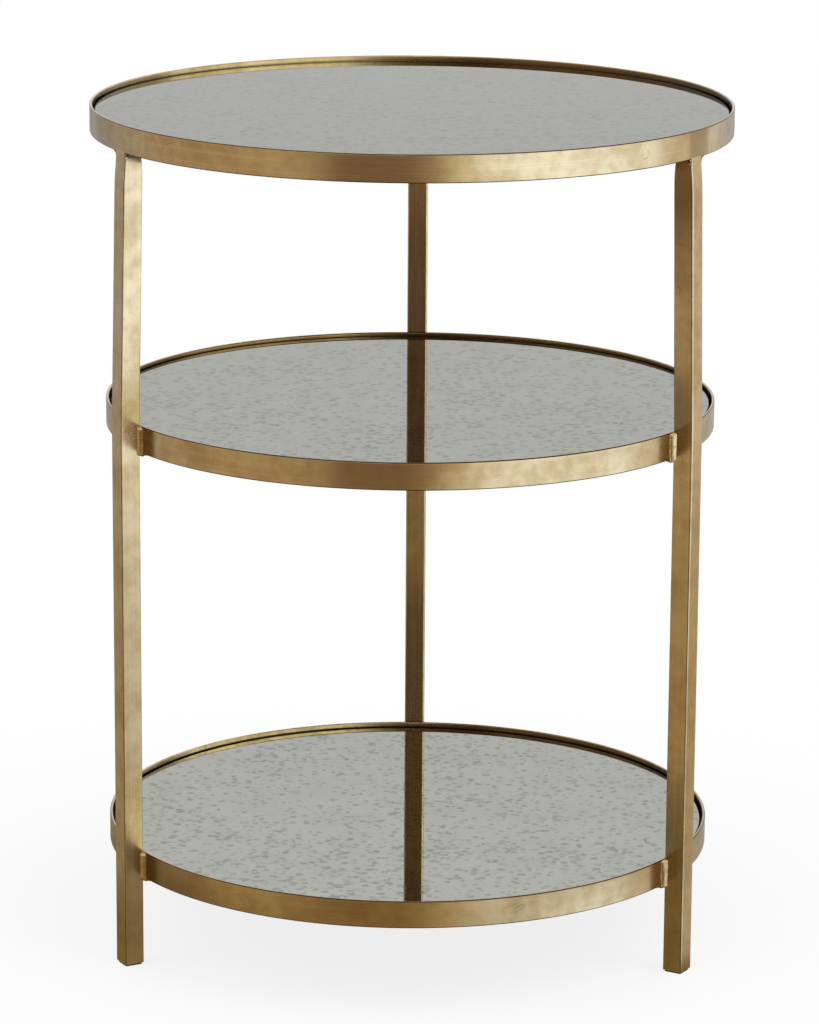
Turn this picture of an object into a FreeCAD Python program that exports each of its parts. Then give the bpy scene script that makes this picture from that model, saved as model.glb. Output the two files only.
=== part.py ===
"""Three-tier round side table: square legs, flat-bar hoops and mirror panes let into the hoops.

The table's axis is Z, the floor is Z = 0 and one leg stands at the back, on +Y. Lengths are in
millimetres. Each piece is drawn about the table's axis and, where it is one of three, turned
about that axis to its leg.
"""
import FreeCAD
import Part
import math
import os

import Sketcher

SIZES = (
    # Whole table.
    ("overall_height", 608.0),
    ("top_diameter", 457.2),
    ("middle_rim_height", 396.2),
    ("bottom_rim_height", 84.7),
    # Hoops, rolled from flat bar.
    ("bar_height", 19.5),
    ("bar_thickness", 2.0),
    ("bar_edge_radius", 0.4),
    # Legs, solid square bar. Their outer faces stand outside the top hoop and are dressed flush to it.
    ("leg_side", 15.0),
    ("leg_corner_radius", 1.0),
    ("leg_proud", 5.2),
    ("leg_lean", 4.2),
    ("leg_outer_dressing", 25.0),
    ("leg_inner_dressing", 20.0),
    ("leg_inner_dressing_depth", 1.5),
    # Feet: eased edges at the end of each leg, and a thin pad under it.
    ("foot_edge_radius", 0.8),
    ("foot_pad_thickness", 1.2),
    ("foot_pad_inset", 1.0),
    # Ledge rings. The middle one sits higher in its hoop than the others.
    ("ledge_width", 12.0),
    ("ledge_thickness", 3.0),
    ("ledge_rise", 2.0),
    ("middle_ledge_rise", 3.0),
    # Backing boards.
    ("board_thickness", 5.5),
    ("board_clearance", 1.0),
    # Adhesive pads.
    ("adhesive_thickness", 1.0),
    ("adhesive_diameter", 36.0),
    ("adhesive_circle_share", 0.62),
    ("adhesive_count", 6.0),
    # Mirror panes.
    ("pane_thickness", 4.0),
    ("pane_clearance", 1.75),
    ("pane_arris", 0.5),
    # Welds.
    ("bead_size", 3.0),
    ("bead_end_margin", 1.0),
    ("ground_fillet_radius", 4.0),
    ("tack_size", 1.6),
    ("tack_angle", 6.0),
    ("tack_count", 6.0),
    # Countersunk board screws.
    ("screw_diameter", 3.5),
    ("screw_head_diameter", 6.5),
    ("screw_head_edge", 0.4),
    ("screw_length", 7.5),
    ("screw_clearance", 0.2),
    ("screw_count", 6.0),
)
LEG_ANGLES = {"back": 90.0, "front_left": 210.0, "front_right": 330.0}
LEG_COUNT = len(LEG_ANGLES)
FULL_TURN = 360.0
UPWARD = FreeCAD.Vector(0, 0, 1)

# Sizes worked out from the sheet, as expressions.
TOP_RADIUS = "(Sizes.top_diameter / 2)"
LEG_OUTER_FACE = f"({TOP_RADIUS} + Sizes.leg_proud)"
LEG_INNER_FACE = f"({LEG_OUTER_FACE} - Sizes.leg_side)"
HALF_LEG = "(Sizes.leg_side / 2)"
TOP_HOOP_FOOT = "(Sizes.overall_height - Sizes.bar_height)"
LEG_TOP = f"({TOP_HOOP_FOOT} + Sizes.ledge_rise)"
SCREW_HEAD_RADIUS = "(Sizes.screw_head_diameter / 2)"
SCREW_RADIUS = "(Sizes.screw_diameter / 2)"

# Each tier: the height of its hoop's upper edge, the hoop's outer radius and the ledge's height in the hoop.
TIERS = {
    "top": ("Sizes.overall_height", TOP_RADIUS, "Sizes.ledge_rise"),
    "middle": ("Sizes.middle_rim_height", LEG_INNER_FACE, "Sizes.middle_ledge_rise"),
    "bottom": ("Sizes.bottom_rim_height", LEG_INNER_FACE, "Sizes.ledge_rise"),
}


def inside_of(radius):
    """The inner radius of a hoop."""
    return f"({radius} - Sizes.bar_thickness)"


def ledge_underside(tier):
    """The height of the lower face of a tier's ledge."""
    rim, _, rise = TIERS[tier]
    return f"({rim} - Sizes.bar_height + {rise})"


def board_underside(tier):
    return f"({ledge_underside(tier)} + Sizes.ledge_thickness)"


def screw_axis(radius):
    """The radius of the circle that the board screws stand on."""
    return f"({inside_of(radius)} - Sizes.ledge_width / 2)"


doc = FreeCAD.newDocument("side_table")
sheet = doc.addObject("Spreadsheet::Sheet", "Sizes")
for row, (alias, value) in enumerate(SIZES, start=1):
    sheet.set(f"A{row}", alias)
    sheet.set(f"B{row}", str(value))
    sheet.setAlias(f"B{row}", alias)
doc.recompute()

parts = []


def new_body(label):
    """An empty body that becomes one node."""
    body = doc.addObject("PartDesign::Body", label)
    body.Label = label
    parts.append(body)
    return body


def origin_feature(body, role):
    """One of the body's own origin planes or axes."""
    return next(feature for feature in body.Origin.OriginFeatures if feature.Role == role)


def new_sketch(body, name, role, offset="0"):
    """A sketch on one of the body's origin planes, moved along the plane's normal by an expression."""
    sketch = body.newObject("Sketcher::SketchObject", f"{body.Name}_{name}")
    sketch.AttachmentSupport = [(origin_feature(body, role), "")]
    sketch.MapMode = "FlatFace"
    sketch.setExpression(".AttachmentOffset.Base.z", offset)
    return sketch


def new_feature(body, kind, name, profile):
    """A feature of the body made from a sketch."""
    feature = body.newObject(f"PartDesign::{kind}", f"{body.Name}_{name}")
    feature.Profile = profile
    return feature


def value_of(owner, expression):
    """The number that an expression gives with the sheet as it stands."""
    return float(owner.evalExpression(expression))


def spot(sketch, point):
    """A point given as two expressions, as a vector in the sketch."""
    return FreeCAD.Vector(value_of(sketch, point[0]), value_of(sketch, point[1]), 0)


def tie(sketch, expression, *constraint):
    """Add a dimension to a sketch and bind it to an expression."""
    index = sketch.addConstraint(Sketcher.Constraint(*constraint, value_of(sketch, expression)))
    sketch.setExpression(f"Constraints[{index}]", expression)


def place_point(sketch, geometry, end, point):
    """Dimension one end of a line or arc from the sketch's origin."""
    tie(sketch, point[0], "DistanceX", -1, 1, geometry, end)
    tie(sketch, point[1], "DistanceY", -1, 1, geometry, end)


def draw_line(sketch, start, end):
    """A straight line, not yet dimensioned."""
    return sketch.addGeometry(Part.LineSegment(spot(sketch, start), spot(sketch, end)), False)


def draw_arc(sketch, centre, start, end):
    """An arc about a point, counterclockwise from one point to another, not yet dimensioned."""
    middle = spot(sketch, centre)
    first, last = spot(sketch, start) - middle, spot(sketch, end) - middle
    circle = Part.Circle(middle, UPWARD, first.Length)
    arc = Part.ArcOfCircle(circle, math.atan2(first.y, first.x), math.atan2(last.y, last.x))
    return sketch.addGeometry(arc, False)


def join_ends(sketch, *pairs):
    """Make ends of lines and arcs meet: each pair is a geometry and its end, then another and its end."""
    for pair in pairs:
        sketch.addConstraint(Sketcher.Constraint("Coincident", *pair))


def draw_outline(sketch, points):
    """A closed outline of straight lines through points given as pairs of expressions."""
    lines = []
    for start, end in zip(points, points[1:] + points[:1]):
        lines.append(draw_line(sketch, start, end))
    join_ends(sketch, *((line, 2, following, 1) for line, following in zip(lines, lines[1:] + lines[:1])))
    for line, point in zip(lines, points):
        place_point(sketch, line, 1, point)


def draw_box(sketch, low, high):
    """A rectangle between two opposite corners."""
    draw_outline(sketch, [low, (high[0], low[1]), high, (low[0], high[1])])


def draw_circle(sketch, centre, radius):
    """A circle about a point."""
    ring = Part.Circle(spot(sketch, centre), UPWARD, value_of(sketch, radius))
    circle = sketch.addGeometry(ring, False)
    place_point(sketch, circle, 3, centre)
    tie(sketch, radius, "Radius", circle)


def pad(body, name, sketch, length):
    """Extrude a sketch along its normal."""
    feature = new_feature(body, "Pad", name, sketch)
    feature.setExpression("Length", length)
    doc.recompute()
    return feature


def revolve(body, name, sketch):
    """Turn a sketch right round the table's axis."""
    feature = new_feature(body, "Revolution", name, sketch)
    feature.ReferenceAxis = (sketch, ["V_Axis"])
    feature.Angle = FULL_TURN
    doc.recompute()
    return feature


def repeat_round(body, feature, count):
    """Repeat a feature evenly about the table's axis."""
    pattern = body.newObject("PartDesign::PolarPattern", f"{body.Name}_pattern")
    pattern.Originals = [feature]
    pattern.Axis = (origin_feature(body, "Z_Axis"), [""])
    pattern.Angle = FULL_TURN
    pattern.setExpression("Occurrences", count)
    body.Tip = pattern
    doc.recompute()


def round_edges(body, base, name, wanted, radius):
    """Fillet the edges of a feature that a test picks."""
    names = [f"Edge{i}" for i, edge in enumerate(base.Shape.Edges, start=1) if wanted(edge)]
    fillet = body.newObject("PartDesign::Fillet", f"{body.Name}_{name}")
    fillet.Base = (base, names)
    fillet.setExpression("Radius", radius)
    doc.recompute()
    return fillet


def turn_to(body, angle):
    """Turn a body about the table's axis, from +X to its own angle."""
    body.Placement = FreeCAD.Placement(FreeCAD.Vector(), FreeCAD.Rotation(UPWARD, angle))


def is_circle(edge):
    return isinstance(edge.Curve, Part.Circle)


def rise_of(edge):
    """How far an edge climbs from its lowest point to its highest."""
    return edge.BoundBox.ZLength


def runs_along_leg(edge):
    """True for the long edges of a leg, and not for those of its tongue."""
    return rise_of(edge) > sheet.leg_side


def lies_at_foot(edge):
    """True for the edges round a leg's lower end."""
    return edge.BoundBox.ZMax < sheet.foot_pad_thickness + sheet.foot_edge_radius


def stands_upright(edge):
    """True for the short upright edges of a foot pad."""
    return rise_of(edge) > sheet.foot_pad_thickness / 2


def lean_at(height):
    """How far a leg has leaned in at a height above the middle tier."""
    bend = "Sizes.middle_rim_height"
    return f"(Sizes.leg_lean * ({height} - {bend}) / ({TOP_HOOP_FOOT} - {bend}))"


def make_leg(name, angle):
    """A square bar, upright to the middle tier, then leaning in to the top hoop, with a tongue on its end."""
    body = new_body(f"leg_{name}")
    tongue_face = f"sqrt({inside_of(TOP_RADIUS)} ^ 2 - {HALF_LEG} ^ 2)"
    outer_start = f"({TOP_HOOP_FOOT} - Sizes.leg_outer_dressing)"
    inner_start = f"({LEG_TOP} - Sizes.leg_inner_dressing)"
    inner_top = f"({LEG_INNER_FACE} - {lean_at(LEG_TOP)} + Sizes.leg_inner_dressing_depth)"
    side = new_sketch(body, "side", "XZ_Plane")
    draw_outline(side, [
        (LEG_INNER_FACE, "Sizes.foot_pad_thickness"),
        (LEG_OUTER_FACE, "Sizes.foot_pad_thickness"),
        (LEG_OUTER_FACE, "Sizes.middle_rim_height"),
        (f"({LEG_OUTER_FACE} - {lean_at(outer_start)})", outer_start),
        (TOP_RADIUS, TOP_HOOP_FOOT),
        (tongue_face, TOP_HOOP_FOOT),
        (tongue_face, LEG_TOP),
        (inner_top, LEG_TOP),
        (f"({LEG_INNER_FACE} - {lean_at(inner_start)})", inner_start),
        (LEG_INNER_FACE, "Sizes.middle_rim_height"),
    ])
    bar = new_feature(body, "Pad", "bar", side)
    bar.SideType = "Symmetric"
    bar.setExpression("Length", "Sizes.leg_side")
    doc.recompute()
    corners = round_edges(body, bar, "corners", runs_along_leg, "Sizes.leg_corner_radius")
    round_edges(body, corners, "eased_foot", lies_at_foot, "Sizes.foot_edge_radius")
    turn_to(body, angle)


def make_foot_pad(name, angle):
    """A thin square pad stuck under one leg, a little smaller than the bar."""
    body = new_body(f"foot_pad_{name}")
    outline = new_sketch(body, "outline", "XY_Plane")
    half_width = f"({HALF_LEG} - Sizes.foot_pad_inset)"
    draw_box(
        outline,
        (f"{LEG_INNER_FACE} + Sizes.foot_pad_inset", f"-{half_width}"),
        (f"{LEG_OUTER_FACE} - Sizes.foot_pad_inset", half_width),
    )
    slab = pad(body, "slab", outline, "Sizes.foot_pad_thickness")
    round_edges(body, slab, "corners", stands_upright, "Sizes.leg_corner_radius")
    turn_to(body, angle)


def make_hoop(tier, rim, radius):
    """A flat bar on edge, rolled into a ring, with eased edges."""
    body = new_body(f"{tier}_hoop")
    section = new_sketch(body, "section", "XZ_Plane")
    draw_box(section, (inside_of(radius), f"{rim} - Sizes.bar_height"), (radius, rim))
    ring = revolve(body, "ring", section)
    round_edges(body, ring, "eased_edges", is_circle, "Sizes.bar_edge_radius")


def make_ledge(tier, radius):
    """A flat ring inside the hoop, drilled and countersunk from below for the board screws."""
    body = new_body(f"{tier}_ledge")
    lower_face, upper_face = ledge_underside(tier), board_underside(tier)
    section = new_sketch(body, "section", "XZ_Plane")
    draw_box(
        section,
        (f"{inside_of(radius)} - Sizes.ledge_width", lower_face),
        (inside_of(radius), upper_face),
    )
    ring = revolve(body, "ring", section)

    axis = screw_axis(radius)
    hole_radius = f"({SCREW_RADIUS} + Sizes.screw_clearance)"
    head_seat = f"({lower_face} + Sizes.screw_head_edge)"
    hole = new_sketch(body, "screw_hole", "XZ_Plane")
    draw_outline(hole, [
        (axis, lower_face),
        (f"{axis} + {SCREW_HEAD_RADIUS}", lower_face),
        (f"{axis} + {SCREW_HEAD_RADIUS}", head_seat),
        (f"{axis} + {hole_radius}", f"{head_seat} + {SCREW_HEAD_RADIUS} - {hole_radius}"),
        (f"{axis} + {hole_radius}", upper_face),
        (axis, upper_face),
    ])
    cut = new_feature(body, "Groove", "countersink", hole)
    cut.ReferenceAxis = (hole, [f"Edge{len(hole.Geometry)}"])
    cut.Angle = FULL_TURN
    doc.recompute()
    if cut.Shape.Volume >= ring.Shape.Volume:
        raise RuntimeError(f"{body.Label}: the screw hole removed nothing")
    repeat_round(body, cut, "Sizes.screw_count")


def make_tacks(tier, radius):
    """Short welds in the corner under the ledge, where it meets the hoop."""
    body = new_body(f"{tier}_ledge_welds")
    wall, lower_face = inside_of(radius), ledge_underside(tier)
    section = new_sketch(body, "section", "XZ_Plane")
    draw_outline(section, [
        (wall, lower_face),
        (f"{wall} - Sizes.tack_size", lower_face),
        (wall, f"{lower_face} - Sizes.tack_size"),
    ])
    tack = revolve(body, "tack", section)
    tack.Midplane = True
    tack.setExpression("Angle", "Sizes.tack_angle")
    doc.recompute()
    repeat_round(body, tack, "Sizes.tack_count")


def make_board(tier, radius):
    """A round board on the ledge, with a blind hole over each screw."""
    body = new_body(f"{tier}_board")
    outline = new_sketch(body, "outline", "XY_Plane", board_underside(tier))
    draw_circle(outline, ("0", "0"), f"{inside_of(radius)} - Sizes.board_clearance")
    disc = pad(body, "disc", outline, "Sizes.board_thickness")
    hole = new_sketch(body, "screw_hole", "XY_Plane", board_underside(tier))
    draw_circle(hole, (screw_axis(radius), "0"), SCREW_RADIUS)
    cut = new_feature(body, "Pocket", "blind_hole", hole)
    cut.Reversed = True
    cut.setExpression("Length", "Sizes.screw_length - Sizes.ledge_thickness")
    doc.recompute()
    if cut.Shape.Volume >= disc.Shape.Volume:
        raise RuntimeError(f"{body.Label}: the blind hole removed nothing")
    repeat_round(body, cut, "Sizes.screw_count")


def make_screws(tier, radius):
    """The countersunk screws of one tier, heads flush with the ledge's underside."""
    body = new_body(f"{tier}_board_screws")
    axis, head = screw_axis(radius), ledge_underside(tier)
    head_seat = f"({head} + Sizes.screw_head_edge)"
    tip = f"({head} + Sizes.screw_length)"
    profile = new_sketch(body, "profile", "XZ_Plane")
    draw_outline(profile, [
        (axis, head),
        (f"{axis} + {SCREW_HEAD_RADIUS}", head),
        (f"{axis} + {SCREW_HEAD_RADIUS}", head_seat),
        (f"{axis} + {SCREW_RADIUS}", f"{head_seat} + {SCREW_HEAD_RADIUS} - {SCREW_RADIUS}"),
        (f"{axis} + {SCREW_RADIUS}", tip),
        (axis, tip),
    ])
    screw = new_feature(body, "Revolution", "screw", profile)
    screw.ReferenceAxis = (profile, [f"Edge{len(profile.Geometry)}"])
    screw.Angle = FULL_TURN
    doc.recompute()
    repeat_round(body, screw, "Sizes.screw_count")


def make_adhesive(tier, radius):
    """Round pads of adhesive between the board and the mirror pane."""
    body = new_body(f"{tier}_mirror_adhesive")
    face = f"({board_underside(tier)} + Sizes.board_thickness)"
    pane_radius = f"({inside_of(radius)} - Sizes.pane_clearance)"
    outline = new_sketch(body, "outline", "XY_Plane", face)
    centre = (f"{pane_radius} * Sizes.adhesive_circle_share", "0")
    draw_circle(outline, centre, "Sizes.adhesive_diameter / 2")
    dab = pad(body, "dab", outline, "Sizes.adhesive_thickness")
    repeat_round(body, dab, "Sizes.adhesive_count")


def make_pane(tier, radius):
    """A round mirror pane with a small ground arris on both edges."""
    body = new_body(f"{tier}_mirror")
    back = f"({board_underside(tier)} + Sizes.board_thickness + Sizes.adhesive_thickness)"
    outline = new_sketch(body, "outline", "XY_Plane", back)
    draw_circle(outline, ("0", "0"), f"{inside_of(radius)} - Sizes.pane_clearance")
    disc = pad(body, "disc", outline, "Sizes.pane_thickness")
    names = [f"Edge{i}" for i, edge in enumerate(disc.Shape.Edges, start=1) if is_circle(edge)]
    arris = body.newObject("PartDesign::Chamfer", f"{body.Name}_arris")
    arris.Base = (disc, names)
    arris.setExpression("Size", "Sizes.pane_arris")


def draw_bead(sketch, radius, side):
    """The section of one bead: a quarter round in the corner between a leg's side and the hoop."""
    leg_side = f"({side} * {HALF_LEG})"
    far_side = f"({side} * ({HALF_LEG} + Sizes.bead_size))"
    corner = (f"sqrt({radius} ^ 2 - {HALF_LEG} ^ 2)", leg_side)
    on_leg = (f"{radius} + Sizes.bead_size", leg_side)
    on_hoop = (f"sqrt({radius} ^ 2 - ({HALF_LEG} + Sizes.bead_size) ^ 2)", far_side)
    line = draw_line(sketch, corner, on_leg)
    if side > 0:
        bulge = draw_arc(sketch, (radius, leg_side), on_leg, on_hoop)
        seat = draw_arc(sketch, ("0", "0"), corner, on_hoop)
        bulge_from, bulge_to, seat_from, seat_to = 1, 2, 1, 2
    else:
        bulge = draw_arc(sketch, (radius, leg_side), on_hoop, on_leg)
        seat = draw_arc(sketch, ("0", "0"), on_hoop, corner)
        bulge_from, bulge_to, seat_from, seat_to = 2, 1, 2, 1
    join_ends(
        sketch,
        (line, 2, bulge, bulge_from),
        (bulge, bulge_to, seat, seat_to),
        (seat, seat_from, line, 1),
        (seat, 3, -1, 1),
    )
    place_point(sketch, line, 1, corner)
    place_point(sketch, line, 2, on_leg)
    tie(sketch, far_side, "DistanceY", -1, 1, seat, seat_to)
    tie(sketch, "Sizes.bead_size", "Radius", bulge)


def make_beads(tier, rim, radius):
    """The welds between one hoop and the legs that it sits inside, one each side of each leg."""
    body = new_body(f"{tier}_hoop_welds")
    start = f"({rim} - Sizes.bar_height + Sizes.bead_end_margin)"
    section = new_sketch(body, "section", "XY_Plane", start)
    for side in (1, -1):
        draw_bead(section, radius, side)
    bead = pad(body, "bead", section, "Sizes.bar_height - 2 * Sizes.bead_end_margin")
    repeat_round(body, bead, str(LEG_COUNT))
    turn_to(body, LEG_ANGLES["back"])


def draw_ground_fillet(sketch, side):
    """The outline of one ground weld: a hollow corner between a leg's side and the hoop's underside."""
    leg_side = f"({side} * {HALF_LEG})"
    far_side = f"({side} * ({HALF_LEG} + Sizes.ground_fillet_radius))"
    lower_end = f"({TOP_HOOP_FOOT} - Sizes.ground_fillet_radius)"
    corner, on_hoop, on_leg = (leg_side, TOP_HOOP_FOOT), (far_side, TOP_HOOP_FOOT), (leg_side, lower_end)
    under_hoop = draw_line(sketch, corner, on_hoop)
    along_leg = draw_line(sketch, on_leg, corner)
    if side > 0:
        hollow = draw_arc(sketch, (far_side, lower_end), on_hoop, on_leg)
        hoop_end, leg_end = 1, 2
    else:
        hollow = draw_arc(sketch, (far_side, lower_end), on_leg, on_hoop)
        hoop_end, leg_end = 2, 1
    join_ends(
        sketch,
        (under_hoop, 2, hollow, hoop_end),
        (hollow, leg_end, along_leg, 1),
        (along_leg, 2, under_hoop, 1),
    )
    place_point(sketch, under_hoop, 1, corner)
    place_point(sketch, under_hoop, 2, on_hoop)
    place_point(sketch, along_leg, 1, on_leg)
    tie(sketch, "Sizes.ground_fillet_radius", "Radius", hollow)


def make_ground_welds(tier):
    """The welds between the top hoop and the legs, ground to a hollow fillet in line with the hoop."""
    body = new_body(f"{tier}_hoop_welds")
    reach = f"({HALF_LEG} + Sizes.ground_fillet_radius)"
    inner_face = f"(sqrt({TOP_RADIUS} ^ 2 - {reach} ^ 2) - Sizes.bar_thickness)"
    section = new_sketch(body, "section", "YZ_Plane", inner_face)
    for side in (1, -1):
        draw_ground_fillet(section, side)
    fillets = pad(body, "fillets", section, "Sizes.bar_thickness")
    repeat_round(body, fillets, str(LEG_COUNT))
    turn_to(body, LEG_ANGLES["back"])


for leg_name, leg_angle in LEG_ANGLES.items():
    make_leg(leg_name, leg_angle)
    make_foot_pad(leg_name, leg_angle)
for tier_name, (rim_height, hoop_radius, _) in TIERS.items():
    make_hoop(tier_name, rim_height, hoop_radius)
    make_ledge(tier_name, hoop_radius)
    make_tacks(tier_name, hoop_radius)
    make_board(tier_name, hoop_radius)
    make_screws(tier_name, hoop_radius)
    make_adhesive(tier_name, hoop_radius)
    make_pane(tier_name, hoop_radius)
    if tier_name == "top":
        make_ground_welds(tier_name)
    else:
        make_beads(tier_name, rim_height, hoop_radius)

doc.recompute()
for item in doc.Objects:
    if "Invalid" in item.State or "Error" in item.State:
        raise RuntimeError(f"{item.Label} did not build: {item.State}")
for part in parts:
    if part.Shape.isNull() or not part.Shape.isValid() or not part.Shape.Solids:
        raise RuntimeError(f"{part.Label} has no valid solid")

os.makedirs("parts", exist_ok=True)
for part in parts:
    part.Shape.exportStep(f"parts/{part.Label}.step")
    print(f"{part.Label}: {len(part.Shape.Solids)} solid(s), {part.Shape.Volume:.0f} mm3")
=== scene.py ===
"""Models and finishes a round three-tier side table around its CAD parts."""

import math

import bmesh
import bpy
from bpy.props import FloatProperty, FloatVectorProperty, IntProperty, PointerProperty
from mathutils import Matrix, Quaternion, Vector


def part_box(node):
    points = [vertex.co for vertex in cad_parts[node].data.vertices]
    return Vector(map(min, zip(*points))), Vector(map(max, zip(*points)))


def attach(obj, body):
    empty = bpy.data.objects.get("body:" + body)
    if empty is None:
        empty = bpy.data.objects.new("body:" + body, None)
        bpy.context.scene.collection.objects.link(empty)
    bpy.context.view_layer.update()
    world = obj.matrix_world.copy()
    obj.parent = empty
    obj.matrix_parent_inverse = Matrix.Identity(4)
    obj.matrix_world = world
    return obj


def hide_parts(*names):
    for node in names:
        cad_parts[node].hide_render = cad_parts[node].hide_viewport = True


bl_info = {
    "name": "Tiered side table",
    "version": (1, 0, 0),
    "blender": (4, 5, 0),
    "location": "View3D > Sidebar > Side table",
    "description": "Models and finishes a tiered side table around its CAD parts",
    "category": "Object",
}

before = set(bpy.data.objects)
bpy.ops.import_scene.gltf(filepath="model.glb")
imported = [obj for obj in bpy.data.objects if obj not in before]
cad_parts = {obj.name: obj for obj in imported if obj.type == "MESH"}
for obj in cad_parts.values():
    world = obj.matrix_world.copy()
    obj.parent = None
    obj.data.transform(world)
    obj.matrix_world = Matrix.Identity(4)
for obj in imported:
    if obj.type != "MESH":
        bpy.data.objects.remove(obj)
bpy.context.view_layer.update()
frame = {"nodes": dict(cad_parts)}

BODY = "root"
MM = 0.001
NEAR = 0.02 * MM
TIERS = ("top", "middle", "bottom")
LOWER_TIERS = ("middle", "bottom")
LEG_TURNS = {"back": 0.0, "front_left": 120.0, "front_right": 240.0}
# How far the foxing of each pane has gone, and the painted light that makes each pane's silver lighter or
# darker.
PANE_AGE = {"top": 0.8, "middle": 1.0, "bottom": 1.0}
PANE_LIGHTING = {"top": 0.955, "middle": 1.06, "bottom": 1.0}
# How dark the painted shade line is inside each hoop, in the gap just above its pane.
GAP_SHADE = {"top": 0.5, "middle": 0.6, "bottom": 0.85}

BOX = {node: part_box(node) for node in frame["nodes"]}
LEG_LOW, LEG_HIGH = BOX["leg_back"]
TOP_LOW, TOP_HIGH = BOX["top_hoop"]
HOOP_BAR = TOP_HIGH.x - BOX["top_ledge"][1].x
LEG_INSIDE = BOX["middle_hoop"][1].x


# Settings

def length_setting(name, description, default, low=0.0):
    return FloatProperty(name=name, description=description, default=default, min=low, unit="LENGTH")


def colour_setting(name, description, default):
    return FloatVectorProperty(
        name=name, description=description, subtype="COLOR", default=default, min=0, max=1)


class FrameShape(bpy.types.PropertyGroup):
    """Edges and dressing of the brass legs and hoops."""

    leg_edge: length_setting("Leg edge", "Rounding of the leg's long edges", 1.2 * MM, 0.1 * MM)
    foot_edge: length_setting("Foot edge", "Rounding round the foot of a leg", 0.8 * MM, 0.1 * MM)
    leg_lean: length_setting(
        "Leg lean", "How far a leg leans in from the middle tier to the top hoop", 4.2 * MM)
    outer_dressing: length_setting(
        "Outer dressing", "Length over which a leg is filed flush with the top hoop", 25 * MM, 10 * MM)
    inner_dressing: length_setting(
        "Inner dressing", "Length over which a leg's inner face is rounded off at the top", 20 * MM, 5 * MM)
    inner_depth: length_setting(
        "Inner depth", "How far the inner face is filed back at the very top", 1.7 * MM)
    hoop_edge: length_setting("Hoop edge", "Rounding of the hoop's four edges", 0.85 * MM, 0.1 * MM)
    leg_scorch: length_setting(
        "Leg scorch", "How far heat marks reach along a leg from its welds", 10.5 * MM, 1 * MM)
    hoop_scorch: length_setting(
        "Hoop scorch", "How far heat marks reach along a hoop from its welds", 8 * MM, 1 * MM)
    # Painted shade: the dark line inside each hoop, just above its pane.
    gap_shade_height: length_setting(
        "Gap shade height", "How far the dark line inside a hoop reaches above the pane", 1.1 * MM)
    gap_shade_fade: length_setting("Gap shade fade", "Height over which that dark line fades out", 0.4 * MM, 0.1 * MM)
    hoop_steps: IntProperty(
        name="Hoop steps", description="Sections round each hoop", default=360, min=90, max=720)


class WeldShape(bpy.types.PropertyGroup):
    """Weld beads between the hoops and the legs."""

    bead_radius: length_setting("Bead radius", "Radius of the weld bead's face", 6.0 * MM, 1 * MM)
    bead_offset: length_setting("Bead offset", "How far the bead's middle lies behind the corner", 2.5 * MM)
    bead_tail: length_setting("Bead tail", "How far the bead runs on below the hoop", 2.0 * MM)
    toe_drop: length_setting(
        "Toe drop", "Height of the hollow that trims the weld's toe under the hoop", 6.5 * MM, 1 * MM)
    toe_reach: length_setting(
        "Toe reach", "How far the weld's toe runs along the hoop's lower edge", 9.0 * MM, 1 * MM)
    grain: length_setting("Grain", "Mesh size of the beads", 0.4 * MM, 0.2 * MM)
    lumps: length_setting("Lumps", "Height of the ripples in the beads", 0.4 * MM)
    tack_lumps: length_setting("Tack lumps", "Height of the ripples in the tacks", 0.5 * MM)


class BrassFinish(bpy.types.PropertyGroup):
    """Colours and wear of the aged brass."""

    body: colour_setting("Body", "Colour of the lacquered brass", (0.56, 0.43, 0.25))
    pale: colour_setting("Pale", "Colour where the finish is rubbed bright", (0.68, 0.56, 0.37))
    brown: colour_setting("Brown", "Colour of the darker patina", (0.43, 0.30, 0.15))
    # Painted shade: the dark lines along the hoops' edges, in the gap above each pane, along the legs' outer
    # corners and under the top hoop take this colour.
    rim: colour_setting(
        "Rim", "Colour of the darkened upper and lower edges of the hoops", (0.045, 0.028, 0.01))
    # Also the colour of the painted shade inside the hoops and of the darker patches.
    marks_and_shade: colour_setting(
        "Scale mark", "Colour of specks, hairlines and darker patches and painted shade", (0.15, 0.085, 0.035))
    scorch: colour_setting("Scorch", "Colour of the brass beside the welds", (0.075, 0.04, 0.016))
    gloss: FloatProperty(
        name="Roughness", description="Mean roughness of the brushed faces", subtype="FACTOR",
        default=0.20, min=0.02, max=1)
    grain_width: length_setting("Grain width", "Spacing of the brush lines", 0.8 * MM, 0.1 * MM)
    grain_length: length_setting("Grain length", "Length of the brush lines", 110 * MM, 5 * MM)


class MirrorFinish(bpy.types.PropertyGroup):
    """Colours and foxing of the antiqued mirror."""

    silver: colour_setting("Silver", "Colour of the grey silvering", (0.55, 0.555, 0.51))
    foxed: colour_setting("Foxed", "Colour of the foxing spots", (0.35, 0.355, 0.325))
    edge: colour_setting("Edge", "Colour of the ground glass edge", (0.34, 0.36, 0.34))
    spot_size: length_setting("Spot size", "Size of the foxing spots", 7 * MM, 1 * MM)
    arris: length_setting("Arris", "Width of the ground arris round a pane", 0.5 * MM, 0.1 * MM)


class HiddenFinish(bpy.types.PropertyGroup):
    """Colours of the parts under the panes and of the feet."""

    board: colour_setting("Board", "Stained fibreboard", (0.10, 0.075, 0.055))
    mastic: colour_setting("Mastic", "Mirror adhesive", (0.74, 0.72, 0.66))
    zinc: colour_setting("Zinc", "Zinc plated screws", (0.60, 0.60, 0.57))
    rubber: colour_setting("Rubber", "Foot pads", (0.035, 0.03, 0.027))


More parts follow.
